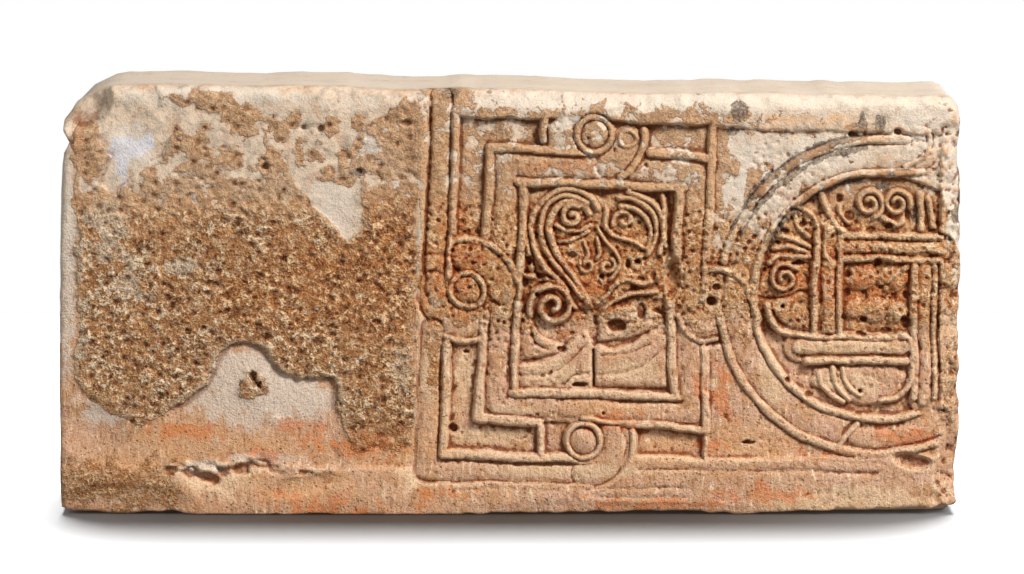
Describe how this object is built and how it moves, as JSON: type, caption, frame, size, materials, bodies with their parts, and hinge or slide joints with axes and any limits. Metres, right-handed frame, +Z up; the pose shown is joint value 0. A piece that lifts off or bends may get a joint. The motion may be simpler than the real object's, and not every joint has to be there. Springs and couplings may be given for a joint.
{
  "type": "carved lintel fragment",
  "caption": "Weathered marble lintel block, broken at both ends, with a knotted ribbon frame and a great circle carved in low relief on its face.",
  "frame": {"origin": "under the middle of the block, on the plane it rests on", "axes": "+X along the block to the viewer's right, +Y back through the stone away from the carved face, +Z up"},
  "size_m": [0.9038, 0.2, 0.433],
  "materials": {
    "marble": "weathered marble under a brown pitted crust, cream and pale grey where it is bare"
  },
  "bodies": {
    "root": {"lintel_fragment": "marble"}
  },
  "joints": []
}
